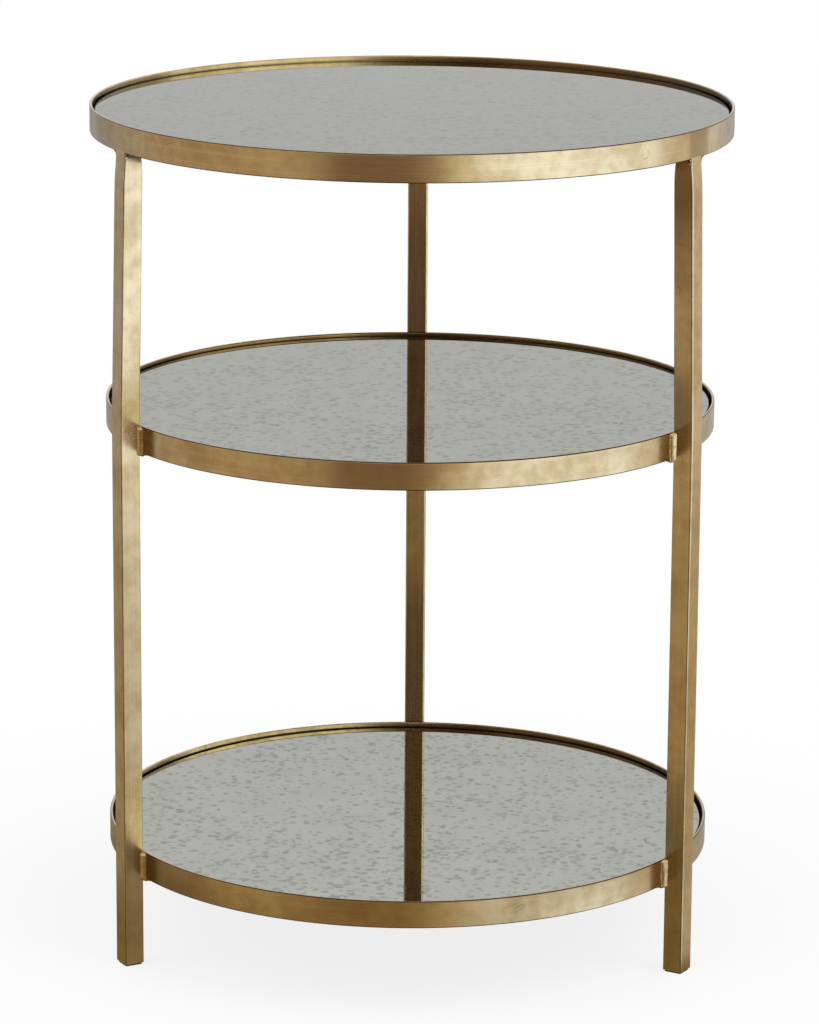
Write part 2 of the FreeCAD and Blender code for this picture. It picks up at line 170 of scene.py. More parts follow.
class StudioSetup(bpy.types.PropertyGroup):
    """Camera, lamps and floor."""

    camera_heading: FloatProperty(
        name="Camera heading", description="Angle of the camera from the table's front towards +X",
        subtype="ANGLE", default=math.radians(1.266))
    camera_distance: length_setting(
        "Camera distance", "Level distance from the table's axis to the camera", 3.2235, 0.5)
    camera_height: length_setting("Camera height", "Height of the camera above the floor", 1.1065)
    aim_height: length_setting("Aim height", "Height on the table's axis that the camera looks at", 0.3079)
    camera_roll: FloatProperty(
        name="Camera roll", description="Turn of the camera about its line of sight",
        subtype="ANGLE", default=math.radians(0.368))
    camera_lens: FloatProperty(
        name="Lens", description="Focal length on a 36 mm frame", subtype="DISTANCE_CAMERA",
        default=160.965, min=10)
    key_power: FloatProperty(
        name="Key power", description="Soft lamp above the right", subtype="POWER", default=26.0, min=0)
    fill_power: FloatProperty(
        name="Fill power", description="Soft lamp above the left", subtype="POWER", default=12.0, min=0)
    ambient: FloatProperty(
        name="Ambient", description="Even light of the room on matt surfaces", default=0.70, min=0, max=2)
    floor_radius: length_setting("Floor radius", "Size of the floor", 2.6, 0.5)
    floor_colour: colour_setting("Floor colour", "Pale floor", (0.86, 0.86, 0.86))


class TableSettings(bpy.types.PropertyGroup):
    """All settings of the side table."""

    frame: PointerProperty(type=FrameShape)
    weld: PointerProperty(type=WeldShape)
    brass: PointerProperty(type=BrassFinish)
    mirror: PointerProperty(type=MirrorFinish)
    hidden: PointerProperty(type=HiddenFinish)
    studio: PointerProperty(type=StudioSetup)


# Modelling by hand

def deselect_all():
    """Leave edit mode and select nothing."""
    if bpy.context.object and bpy.context.object.mode != "OBJECT":
        bpy.ops.object.mode_set(mode="OBJECT")
    bpy.ops.object.select_all(action="DESELECT")


def make_only(piece):
    """Select one piece and make it the active one."""
    deselect_all()
    piece.select_set(True)
    bpy.context.view_layer.objects.active = piece


def edit(piece):
    """Open a piece for editing."""
    make_only(piece)
    bpy.ops.object.mode_set(mode="EDIT")


def begin(name, add, scale=(1, 1, 1), **size):
    """Add a primitive at its size and place, name it and open it for editing."""
    deselect_all()
    add(**size)
    piece = bpy.context.active_object
    piece.scale = scale
    piece.name = piece.data.name = name
    bpy.ops.object.transform_apply(location=True, rotation=True, scale=True)
    bpy.ops.object.mode_set(mode="EDIT")
    return piece


def block(name, low, high):
    """Begin a square block between two corners."""
    return begin(
        name, bpy.ops.mesh.primitive_cube_add, size=1.0, location=(low + high) / 2, scale=high - low)


def pick(piece, kind, test):
    """Select the vertices, edges or faces of the open piece that pass a test."""
    bpy.ops.mesh.select_mode(type=kind)
    bpy.ops.mesh.select_all(action="DESELECT")
    mesh = bmesh.from_edit_mesh(piece.data)
    mesh.normal_update()
    items = {"VERT": mesh.verts, "EDGE": mesh.edges, "FACE": mesh.faces}[kind]
    chosen = [item for item in items if test(item)]
    if not chosen:
        raise RuntimeError(f"{piece.name}: nothing to select")
    for item in chosen:
        item.select_set(True)
    mesh.select_flush_mode()
    bmesh.update_edit_mesh(piece.data)


def level(edge):
    """Whether an edge lies level."""
    return abs(edge.verts[0].co.z - edge.verts[1].co.z) < NEAR


def select_all():
    """Select all of the open piece."""
    bpy.ops.mesh.select_all(action="SELECT")


def cut(place, facing, **options):
    """Cut all of the open piece along a plane."""
    select_all()
    bpy.ops.mesh.bisect(plane_co=place, plane_no=facing, **options)


def round_off(offset, segments, profile=0.5, affect="EDGES"):
    """Round off the selected edges or corners of the open piece."""
    bpy.ops.mesh.bevel(offset=offset, segments=segments, profile=profile, affect=affect)


def pull_up(height):
    """Extrude the selected faces of the open piece upwards."""
    bpy.ops.mesh.extrude_region_move(TRANSFORM_OT_translate={"value": (0, 0, height)})


def close():
    """Leave edit mode."""
    bpy.ops.object.mode_set(mode="OBJECT")


def tidy_mesh(piece):
    """Merge doubles of the open piece, turn its faces outwards and close it."""
    select_all()
    bpy.ops.mesh.remove_doubles(threshold=NEAR)
    bpy.ops.mesh.normals_make_consistent(inside=False)
    close()


def modify(piece, kind, **settings):
    """Put a modifier on a piece and apply it."""
    make_only(piece)
    modifier = piece.modifiers.new(kind.lower(), kind)
    for key, value in settings.items():
        setattr(modifier, key, value)
    bpy.ops.object.modifier_apply(modifier=modifier.name)


def carve(piece, tool):
    """Cut a tool's shape out of a piece and take the tool away."""
    modify(piece, "BOOLEAN", object=tool, operation="DIFFERENCE", solver="EXACT")
    bpy.data.objects.remove(tool)


def smooth_faces(piece, angle=40.0, weighted=True):
    """Shade a piece smooth, with its broad faces flat right up to their rounded edges."""
    make_only(piece)
    bpy.ops.object.shade_smooth_by_angle(angle=math.radians(angle))
    if weighted:
        modify(piece, "WEIGHTED_NORMAL", keep_sharp=True, weight=50)


def copy_of(piece, name, place):
    """Copy a piece with its own mesh and move the copy's mesh to its place."""
    twin = piece.copy()
    twin.data = piece.data.copy()
    twin.name = twin.data.name = name
    twin.data.transform(place)
    bpy.context.collection.objects.link(twin)
    return twin


def node_copy(node, name):
    """A merged copy of a CAD node's mesh, as a new piece."""
    twin = frame["nodes"][node].copy()
    twin.data = twin.data.copy()
    twin.parent = None
    twin.name = twin.data.name = name
    for key in list(twin.keys()):
        del twin[key]
    twin.data.materials.clear()
    bpy.context.collection.objects.link(twin)
    edit(twin)
    tidy_mesh(twin)
    make_only(twin)
    if twin.data.has_custom_normals:
        bpy.ops.mesh.customdata_custom_splitnormals_clear()
    return twin


def join(pieces, name):
    """Join pieces into the first one."""
    deselect_all()
    for piece in pieces:
        piece.select_set(True)
    bpy.context.view_layer.objects.active = pieces[0]
    bpy.ops.object.join()
    pieces[0].name = pieces[0].data.name = name
    return pieces[0]


def about_z(degrees):
    return Matrix.Rotation(math.radians(degrees), 4, "Z")


def mark(piece, name, value_at):
    """Store a number at each vertex for the finish to read."""
    layer = piece.data.attributes.new(name, "FLOAT", "POINT")
    for vertex in piece.data.vertices:
        layer.data[vertex.index].value = value_at(vertex.co, vertex.normal)


# How wide the rubbed band along an edge is, as a share of the turn of its surface.
WEAR_BAND = 0.25


def edge_wear(*parts):
    """How much a surface direction lies between its main directions: 0 on a face, 1 on an edge."""
    return min(1.0, max(0.0, (1.0 - max(abs(part) for part in parts)) / WEAR_BAND))


def place_piece(piece, slot, finish, *nodes):
    """Give a finished piece its material, hang it on the table's body and hide the CAD parts it replaces."""
    piece.data.materials.clear()
    piece.data.materials.append(finish)
    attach(piece, BODY)
    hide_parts(*nodes)


# Finishes

def solid(value):
    """A colour for a socket: a link as it is, or three numbers made opaque."""
    return value if isinstance(value, bpy.types.NodeSocket) else (*value, 1.0)


def shade(colour, factor):
    """A lighter or darker colour."""
    return tuple(min(1.0, part * factor) for part in colour)


class Nodes:
    """Builds the nodes of a material or of the world."""

    def __init__(self, owner):
        owner.use_nodes = True
        self.tree = owner.node_tree
        self.tree.nodes.clear()

    def add(self, kind, inputs=None, **settings):
        """Add a node, set it up and link or fill its inputs."""
        node = self.tree.nodes.new("ShaderNode" + kind)
        for key, value in settings.items():
            setattr(node, key, value)
        for key, value in (inputs or {}).items():
            if isinstance(value, bpy.types.NodeSocket):
                self.tree.links.new(value, node.inputs[key])
            else:
                node.inputs[key].default_value = value
        return node

    def maths(self, operation, first, second=0.0, third=0.0):
        """One step of arithmetic."""
        return self.add("Math", {0: first, 1: second, 2: third}, operation=operation).outputs[0]

    def times(self, first, second):
        """One value scaled by another."""
        return self.maths("MULTIPLY", first, second)

    def span(self, value, low, high, start=0.0, end=1.0, ease="SMOOTHSTEP"):
        """Ease a value from one range to another, held at both ends."""
        node = self.add("MapRange", {
            "Value": value, "From Min": low, "From Max": high, "To Min": start, "To Max": end},
            interpolation_type=ease)
        return node.outputs["Result"]

    def blend(self, factor, first, second, mode="MIX"):
        """Mix two colours."""
        inputs = {0: factor, 6: solid(first), 7: solid(second)}
        return self.add("Mix", inputs, data_type="RGBA", blend_type=mode).outputs[2]

    def mix(self, factor, first, second):
        """Mix two shaders."""
        inputs = {0: factor, 1: first.outputs[0], 2: second.outputs[0]}
        return self.add("MixShader", inputs)


class Finish(Nodes):
    """Builds the nodes of one material."""

    def __init__(self, name):
        self.material = bpy.data.materials.new(name)
        super().__init__(self.material)
        self.place = self.add("TexCoord").outputs["Object"]

    def stretched(self, size):
        """Object coordinates with a different pattern size along each axis."""
        scale = tuple(1.0 / length for length in size)
        return self.add("Mapping", {"Vector": self.place, "Scale": scale}).outputs["Vector"]

    def noise(self, size, detail=3.0, rough=0.55, where=None, distortion=0.0, shift=None):
        """Cloudy noise whose features are about a given size, moved aside to differ from its neighbour."""
        if shift:
            where = self.add("Mapping", {"Vector": self.place, "Location": shift}).outputs["Vector"]
        node = self.add("TexNoise", {
            "Vector": where or self.place, "Scale": 1.0 / size, "Detail": detail,
            "Roughness": rough, "Distortion": distortion})
        return node.outputs["Fac"]

    def cells(self, size):
        """Distance to scattered cells of about a given size."""
        return self.add("TexVoronoi", {"Vector": self.place, "Scale": 1.0 / size}).outputs["Distance"]

    def stored(self, name):
        """A number stored at the vertices of the piece."""
        return self.add("Attribute", attribute_name=name).outputs["Fac"]

    def bump(self, height, depth, under=None):
        """Surface relief of a given depth."""
        inputs = {"Height": height, "Distance": depth, "Strength": 1.0}
        if under is not None:
            inputs["Normal"] = under
        return self.add("Bump", inputs).outputs["Normal"]

    def surface(self, colour, roughness, normal, **fixed):
        """The shader itself, with values that are the same all over set on its sockets."""
        shader = self.add("BsdfPrincipled", {
            "Base Color": colour, "Roughness": roughness, "Normal": normal, **fixed})
        self.add("OutputMaterial", {"Surface": shader.outputs["BSDF"]})
        return self.material


def aged_brass(name, settings, grain, weld=False):
    """Brushed brass with a mottled patina, hairlines, specks, rubbed edges, heat marks by the welds, darker
    patches, and painted shade along edges and in gaps and hollows.
    """
    f = Finish(name)
    wear, heat = f.stored("wear"), f.stored("heat")
    clouds = f.noise(38 * MM, detail=5.0, rough=0.6)
    mottle = f.noise(9 * MM, detail=4.0, rough=0.6, shift=(0.31, 0.12, 0.07))
    brushing = f.noise(1.0, detail=3.0, rough=0.65, where=f.stretched(grain))
    wide_brushing = f.noise(1.0, detail=2.0, where=f.stretched(tuple(4.5 * part for part in grain)))

    line_field = f.noise(55 * MM, detail=1.5, distortion=1.4, shift=(0.05, 0.4, 0.2))
    lines = f.span(f.maths("ABSOLUTE", f.maths("SUBTRACT", line_field, 0.5)), 0.0, 0.0045, 1.0, 0.0)
    line_gaps = f.span(f.noise(26 * MM, shift=(0.7, 0.3, 0.1)), 0.52, 0.66)
    hairlines = f.times(lines, line_gaps)

    speck_dots = f.span(f.cells(2.6 * MM), 0.10, 0.2, 1.0, 0.0)
    speck_places = f.span(f.noise(20 * MM, detail=2.0, shift=(0.2, 0.9, 0.5)), 0.58, 0.72)
    specks = f.times(speck_dots, speck_places)

    patina = f.maths("ADD", f.times(clouds, 0.65), f.times(mottle, 0.35))
    tone = f.blend(f.span(patina, 0.36, 0.62), settings.brown, settings.body)
    streaks = f.maths("ADD", f.times(brushing, 0.5), f.times(wide_brushing, 0.5))
    tone = f.blend(f.span(streaks, 0.48, 0.72, 0.0, 0.45), tone, settings.pale)
    rubbed = f.times(wear, f.span(mottle, 0.3, 0.6, 0.35, 0.95))
    tone = f.blend(rubbed, tone, settings.pale)
    # Painted shade along the edges, in the gaps and in the hollows.
    tone = f.blend(f.times(f.stored("rim"), 0.97), tone, settings.rim)
    scorched = f.times(heat, f.span(mottle, 0.32, 0.62, 0.95, 0.65))
    tone = f.blend(scorched, tone, settings.scorch)
    # Painted shade inside the hoops, and darker patches on the hoops and one leg.
    tone = f.blend(f.stored("shade_and_patches"), tone, settings.marks_and_shade)
    marks = f.maths("MAXIMUM", f.times(hairlines, 0.55), f.times(specks, 0.7))
    tone = f.blend(marks, tone, settings.marks_and_shade)

    rough = f.span(patina, 0.34, 0.66, settings.gloss + 0.06, settings.gloss - 0.03)
    rough = f.maths("ADD", rough, f.times(f.maths("SUBTRACT", brushing, 0.5), 0.16))
    rough = f.maths("ADD", rough, f.times(marks, 0.2))
    rough = f.maths("ADD", rough, f.times(scorched, 0.12 if not weld else 0.2))

    relief = f.bump(f.noise(70 * MM, detail=1.0, shift=(0.6, 0.2, 0.8)), 0.12 * MM)
    relief = f.bump(mottle, 0.007 * MM, relief)
    relief = f.bump(brushing, 0.008 * MM, relief)
    relief = f.bump(marks, -0.02 * MM, relief)
    if weld:
        relief = f.bump(f.noise(2.4 * MM, detail=1.0), 0.04 * MM, relief)
    return f.surface(tone, rough, relief, Metallic=1.0)


def antiqued_mirror(name, settings):
    """Grey silvering with clustered foxing spots, seen through glass, with a pale ground edge and painted
    light per pane.
    """
    f = Finish(name)
    edge = f.stored("wear")
    to_back = f.add("SeparateXYZ", {"Vector": f.place}).outputs["Y"]
    gathering = f.noise(70 * MM, detail=2.0, shift=(0.4, 0.1, 0.3))
    gathering = f.maths("ADD", gathering, f.span(to_back, -0.2, 0.2, 0.05, -0.05))
    crowd = f.span(gathering, 0.34, 0.66, 0.66, 0.60)
    islands = f.noise(settings.spot_size, detail=2.5, rough=0.5, distortion=0.4)
    flecks = f.noise(settings.spot_size * 0.4, detail=1.5, shift=(0.8, 0.6, 0.2))
    big = f.span(f.maths("SUBTRACT", islands, crowd), -0.03, 0.05)
    small = f.span(f.maths("SUBTRACT", flecks, crowd), 0.03, 0.07)
    ragged = f.maths("MULTIPLY_ADD", flecks, 0.5, f.cells(settings.spot_size * 1.1))
    reach = f.span(gathering, 0.3, 0.7, 0.57, 0.67)
    dots = f.span(f.maths("SUBTRACT", ragged, reach), -0.17, 0.05, 1.0, 0.0)
    spots = f.maths("MAXIMUM", f.maths("MAXIMUM", big, dots), f.times(small, 0.8))
    depth = f.noise(14 * MM, detail=1.0, shift=(0.1, 0.5, 0.7))
    spots = f.times(spots, f.span(depth, 0.35, 0.65, 0.6, 1.0))
    cloud = f.noise(30 * MM, detail=4.0, rough=0.6)
    shade = f.times(f.span(cloud, 0.35, 0.7), 0.15)
    foxing = f.times(f.maths("MAXIMUM", spots, shade), f.stored("age"))
    tone = f.blend(foxing, settings.silver, settings.foxed)
    # Painted light: each pane's silver lightened or darkened for the way light falls on its tier.
    tone = f.blend(1.0, tone, f.stored("painted_lighting"), mode="MULTIPLY")
    tone = f.blend(f.times(edge, 0.9), tone, settings.edge)

    rough = f.maths("ADD", f.span(spots, 0.0, 1.0, 0.01, 0.06), f.times(edge, 0.3))
    relief = f.bump(f.noise(120 * MM, detail=1.0), 0.02 * MM)
    relief = f.bump(spots, -0.001 * MM, relief)
    return f.surface(tone, rough, relief, Metallic=1.0, **{"Specular Tint": (0.58, 0.58, 0.575, 1.0)})


def fibreboard(name, colour):
    """Dark stained fibreboard with short pressed fibres."""
    f = Finish(name)
    fibres = f.noise(1.0, detail=4.0, rough=0.7, where=f.stretched((3 * MM, 0.7 * MM, 1 * MM)))
    across = f.noise(1.0, detail=4.0, rough=0.7, where=f.stretched((0.7 * MM, 3 * MM, 1 * MM)))
    pressed = f.maths("MAXIMUM", fibres, across)
    stain = f.noise(45 * MM, detail=4.0)
    light = shade(colour, 1.7)
    dark = shade(colour, 0.6)
    tone = f.blend(f.span(pressed, 0.45, 0.75), dark, light)
    tone = f.blend(f.span(stain, 0.35, 0.7, 0.0, 0.5), tone, dark)
    rough = f.span(pressed, 0.4, 0.75, 0.8, 0.6)
    return f.surface(tone, rough, f.bump(pressed, 0.12 * MM))


def mastic(name, colour):
    """Matt adhesive with a skin and a few pores."""
    f = Finish(name)
    skin = f.noise(4 * MM, detail=4.0)
    pores = f.span(f.cells(1.5 * MM), 0.08, 0.2, 1.0, 0.0)
    tone = f.blend(f.span(skin, 0.3, 0.7), shade(colour, 0.86), colour)
    tone = f.blend(f.times(pores, 0.5), tone, shade(colour, 0.5))
    rough = f.span(skin, 0.3, 0.7, 0.65, 0.5)
    return f.surface(tone, rough, f.bump(f.maths("SUBTRACT", skin, pores), 0.15 * MM))


def zinc_plate(name, colour):
    """Zinc plating, dulled in patches."""
    f = Finish(name)
    bloom = f.noise(1.2 * MM, detail=4.0)
    turned = f.noise(0.5 * MM, detail=2.0, shift=(0.2, 0.1, 0.4))
    tone = f.blend(f.span(bloom, 0.35, 0.65), shade(colour, 0.7), colour)
    rough = f.span(bloom, 0.3, 0.7, 0.45, 0.28)
    return f.surface(tone, rough, f.bump(turned, 0.02 * MM), Metallic=1.0)


def foot_rubber(name, colour):
    """Matt black rubber with a dusty moulded grain."""
    f = Finish(name)
    grain = f.noise(0.6 * MM, detail=3.0)
    dust = f.noise(7 * MM, detail=4.0)
    pale = shade(colour, 2.6)
    tone = f.blend(f.span(dust, 0.45, 0.75, 0.0, 0.6), colour, pale)
    rough = f.span(dust, 0.3, 0.7, 0.7, 0.9)
    return f.surface(tone, rough, f.bump(grain, 0.05 * MM))


def brass_grain(settings, upright):
    """Pattern size of the brush lines: along the leg, or round the hoop."""
    across, along = settings.grain_width, settings.grain_length
    return (across, across, along) if upright else (along, along, across)


def finish_named(name, make, *arguments, **options):
    """The material of that name, made the first time it is asked for."""
    return bpy.data.materials.get(name) or make(name, *arguments, **options)


def brass_for(kind):
    """Brass finish for bars that stand, hoops that go round, or welds."""
    settings = bpy.context.scene.side_table.brass
    grain = brass_grain(settings, kind == "bar")
    return finish_named(f"aged_brass_{kind}", aged_brass, settings, grain, weld=kind == "weld")


# Heat marks, painted shade along rims and in hollows, and darker patches

# How far a surface has to face outwards, or inwards, to count as a hoop's wall.
WALL_FACING = 0.5
# Surface directions on the rounded edge of a hoop and the outer corner of a leg, where painted shade lines
# go: outwards, and across.
HOOP_EDGE_OUT, HOOP_EDGE_UP = 0.25, (0.2, 0.95)
LEG_CORNER_OUT, LEG_CORNER_SIDE = 0.2, (0.76, 0.985)
FILLET_FACE = 0.7
# Painted shade inside the hoops, and darker patches outside them: strength, then the degrees from the back
# where one starts, is full, thins and ends.
INNER_SHADE = {
    "top": (0.75, 0, 14, 100, 150), "middle": (0.75, -100, -86, 100, 150), "bottom": (0.75, 0, 14, 100, 150)}
TOP_PATCH = (0.45, 115, 116.5, 122, 123.5)
BOTTOM_PATCH = (0.5, 92, 110, 132, 150)
# Painted shade in the pocket at the top of a leg's sides, under the top hoop: how deep it reaches at the
# outer and the inner side.
OUTER_POCKET, INNER_POCKET = 4.2 * MM, 7.4 * MM
POCKET_SPLIT = TOP_HIGH.x - 6 * MM
LEG_SIDE = LEG_HIGH.x - 0.6 * MM
# Strength of the painted shade line along a leg's outer corner.
CORNER_LINE = 0.7
FILLET_SHADE = 0.6
# Darkening on one side of a leg: strength, and the heights between which it comes in.
LEG_DARKENING, DARKENING_LOW, DARKENING_HIGH = 0.85, 0.455, 0.57
DARKENING_TURN, DARKENING_FACING = math.radians(30), 0.9


def beside_welds(point, reach):
    """How scorched the brass is at a point, within reach of the welds of the two lower hoops."""
    strongest = 0.0
    for turn in LEG_TURNS.values():
        local = about_z(-turn) @ point
        if local.y < 0.0:
            continue
        for tier in LOWER_TIERS:
            low, high = BOX[f"{tier}_hoop"]
            along = max(abs(local.x) - LEG_HIGH.x, 0.0)
            out = max(local.y - LEG_INSIDE, 0.0)
            rise = max(low.z - local.z, local.z - high.z, 0.0)
            far = math.sqrt(along ** 2 + out ** 2 + rise ** 2)
            strongest = max(strongest, math.exp(-(far / reach) ** 2))
    return strongest


def eased(value, low, high):
    """Rise smoothly from 0 to 1 as a value goes from low to high."""
    step = min(1.0, max(0.0, (value - low) / (high - low)))
    return step * step * (3.0 - 2.0 * step)


def patch(angle, strength, start, full, thin, end):
    """Strength of a smoky patch at an angle."""
    return strength * eased(angle, start, full) * (1.0 - eased(angle, thin, end))


def facing_out(co, normal):
    """How far a surface faces away from the table's axis."""
    return normal.dot(Vector((co.x, co.y, 0)).normalized())


def painted_hoop_shade(co, normal, gap_shade_line, dust):
    """Painted shade: a dark line along the outer edges of a hoop, above and below, and inside it just above
    the pane.
    """
    outward = facing_out(co, normal)
    if outward < -WALL_FACING:
        # Painted shade in the gap just above the pane.
        return dust if co.z < gap_shade_line else 0.0
    on_edge = HOOP_EDGE_UP[0] < abs(normal.z) < HOOP_EDGE_UP[1]
    return 1.0 if outward > HOOP_EDGE_OUT and on_edge else 0.0


def hoop_shade_and_patches(co, normal, tier):
    """Painted shade inside a hoop on the right, and brown patches by a leg outside the top and bottom hoops.
    """
    outward = facing_out(co, normal)
    from_back = math.degrees(math.atan2(co.x, co.y))
    if outward < -WALL_FACING:
        # Painted shade on the inner wall.
        return patch(from_back, *INNER_SHADE[tier])
    if outward > WALL_FACING and tier == "top":
        return patch(from_back, *TOP_PATCH)
    if outward > WALL_FACING and tier == "bottom":
        return patch(-from_back, *BOTTOM_PATCH)
    return 0.0


def painted_leg_shade(co, normal):
    """Painted shade: a dark line along the side of a leg's outer corners, and in the pocket at the top of
    its sides under the top hoop.
    """
    corner = normal.y > LEG_CORNER_OUT and LEG_CORNER_SIDE[0] < abs(normal.x) < LEG_CORNER_SIDE[1]
    drop = max(TOP_LOW.z - co.z, 0.0)
    depth = OUTER_POCKET if co.y > POCKET_SPLIT else INNER_POCKET
    pocket = math.exp(-(drop / depth) ** 8) if abs(co.x) > LEG_SIDE else 0.0
    return max(CORNER_LINE if corner else 0.0, pocket)


def painted_fillet_shade(co, normal):
    """Painted shade in the hollow of the fillets under the top hoop, but not on their outer faces."""
    return FILLET_SHADE if facing_out(co, normal) < FILLET_FACE else 0.0


def leg_wear(co, normal):
    """Rubbed corners of a leg, except beside the painted shade line."""
    if LEG_CORNER_OUT < normal.y < abs(normal.x):
        return 0.0
    return edge_wear(normal.x, normal.y, normal.z)


def leg_side_darkening(co, normal):
    """Darker towards the top on the left side of the front right leg."""
    facing = -normal.x * math.sin(DARKENING_TURN) - normal.y * math.cos(DARKENING_TURN)
    return LEG_DARKENING * eased(co.z, DARKENING_LOW, DARKENING_HIGH) if facing > DARKENING_FACING else 0.0


# Pieces

class SIDE_TABLE_OT_legs(bpy.types.Operator):
    """Model a leg from square bar, dress its top and set three of them round the table"""

    bl_idname = "side_table.legs"
    bl_label = "Legs"

    # Cross cuts in mm: below the top hoop, above the middle tier, and either side of a lower hoop.
    DRESSING_CUTS = (25, 21, 17, 13.5, 10.5, 8, 6, 4, 2.5, 1)
    LEAN_CUTS = (30, 55, 85, 115, 145)
    WELD_CUTS = (0, 4, 8, 14, 24)
    INNER_CURVE = 2.2
    TONGUE_GAP = 0.15 * MM

    def execute(self, context):
        shape = context.scene.side_table.frame
        shoulder, bend = TOP_LOW.z, BOX["middle_hoop"][1].z
        low, high = Vector((LEG_LOW.x, LEG_INSIDE, LEG_LOW.z)), Vector((LEG_HIGH.x, LEG_HIGH.y, shoulder))
        leg = block("brass_leg_back", low, high)

        dressed = [shoulder - drop * MM for drop in self.DRESSING_CUTS] + [shoulder]
        heights = [bend + rise * MM for rise in self.LEAN_CUTS] + dressed[:-1]
        for tier in LOWER_TIERS:
            hoop_low, hoop_high = BOX[f"{tier}_hoop"]
            for gap in self.WELD_CUTS:
                heights += [hoop_low.z - gap * MM, hoop_high.z + gap * MM]
        for height in sorted(heights):
            cut((0, 0, height), (0, 0, 1))

        half_way = (low.y + high.y) / 2
        proud = LEG_HIGH.y - shape.leg_lean - TOP_HIGH.x
        for height in [h for h in sorted(heights) if h > bend + NEAR] + [shoulder]:
            rise = (height - bend) / (shoulder - bend)
            pick(leg, "VERT", lambda v: abs(v.co.z - height) < NEAR)
            bpy.ops.transform.translate(value=(0, -shape.leg_lean * rise, 0))
        for height in dressed:
            rise = 1.0 - (shoulder - height) / shape.outer_dressing
            pick(leg, "VERT", lambda v: abs(v.co.z - height) < NEAR and v.co.y > half_way)
            bpy.ops.transform.translate(value=(0, -proud * rise * rise * (3.0 - 2.0 * rise), 0))
            rise = max(0.0, 1.0 - (shoulder - height) / shape.inner_dressing)
            pick(leg, "VERT", lambda v: abs(v.co.z - height) < NEAR and v.co.y < half_way)
            bpy.ops.transform.translate(value=(0, shape.inner_depth * rise ** self.INNER_CURVE, 0))

        pick(leg, "EDGE", lambda e: not level(e))
        round_off(shape.leg_edge, 5)
        pick(leg, "EDGE", lambda e: max(v.co.z for v in e.verts) < LEG_LOW.z + NEAR)
        round_off(shape.foot_edge, 3)

        hoop_inside = TOP_HIGH.x - HOOP_BAR
        on_top = lambda f: f.normal.z > 0.9 and f.calc_center_median().z > shoulder - NEAR
        pick(leg, "FACE", on_top)
        bpy.ops.mesh.bisect(plane_co=(0, hoop_inside - self.TONGUE_GAP, 0), plane_no=(0, 1, 0))
        pick(leg, "FACE", lambda f: on_top(f) and f.calc_center_median().y < hoop_inside)
        pull_up(LEG_HIGH.z - shoulder)
        pick(leg, "FACE", lambda f: on_top(f) and f.calc_center_median().y > hoop_inside)
        pull_up(shape.hoop_edge)
        tidy_mesh(leg)
        smooth_faces(leg)

        mark(leg, "wear", leg_wear)
        # Painted shade along the outer corners and under the top hoop.
        mark(leg, "rim", painted_leg_shade)
        mark(leg, "heat", lambda co, normal: beside_welds(co, shape.leg_scorch))
        for side, turn in LEG_TURNS.items():
            piece = copy_of(leg, f"brass_leg_{side}", about_z(turn)) if turn else leg
            if side == "front_right":
                # Darker towards the top on one side of this leg.
                mark(piece, "shade_and_patches", leg_side_darkening)
            place_piece(piece, "aged_brass", brass_for("bar"), f"leg_{side}")
        return {"FINISHED"}


class SIDE_TABLE_OT_hoops(bpy.types.Operator):
    """Roll each tier's hoop from flat bar with rounded edges"""

    bl_idname = "side_table.hoops"
    bl_label = "Hoops"

    def execute(self, context):
        shape = context.scene.side_table.frame
        for tier in TIERS:
            low, high = BOX[f"{tier}_hoop"]
            hoop = begin(
                f"brass_hoop_{tier}", bpy.ops.mesh.primitive_plane_add, size=1.0,
                location=(high.x - HOOP_BAR / 2, 0, (low.z + high.z) / 2),
                rotation=(math.pi / 2, 0, 0), scale=(HOOP_BAR, high.z - low.z, 1))
            select_all()
            round_off(shape.hoop_edge, 4, affect="VERTICES")
            select_all()
            bpy.ops.mesh.delete(type="ONLY_FACE")
            select_all()
            bpy.ops.mesh.spin(
                steps=shape.hoop_steps, angle=2 * math.pi, center=(0, 0, 0), axis=(0, 0, 1))
            gap_shade_line = BOX[f"{tier}_mirror"][1].z + shape.gap_shade_height
            for height in (gap_shade_line - shape.gap_shade_fade / 2, gap_shade_line + shape.gap_shade_fade / 2):
                cut((0, 0, height), (0, 0, 1))
            tidy_mesh(hoop)
            smooth_faces(hoop)

            # Painted shade along the hoop's edges and just above its pane.
            mark(hoop, "rim", lambda co, normal: painted_hoop_shade(co, normal, gap_shade_line, GAP_SHADE[tier]))
            # Painted shade inside the hoop, and darker patches outside it.
            mark(hoop, "shade_and_patches", lambda co, normal: hoop_shade_and_patches(co, normal, tier))
            welded = tier in LOWER_TIERS
            mark(hoop, "heat", lambda co, normal: beside_welds(co, shape.hoop_scorch) if welded else 0.0)
            place_piece(hoop, "aged_brass", brass_for("hoop"), f"{tier}_hoop")
        return {"FINISHED"}


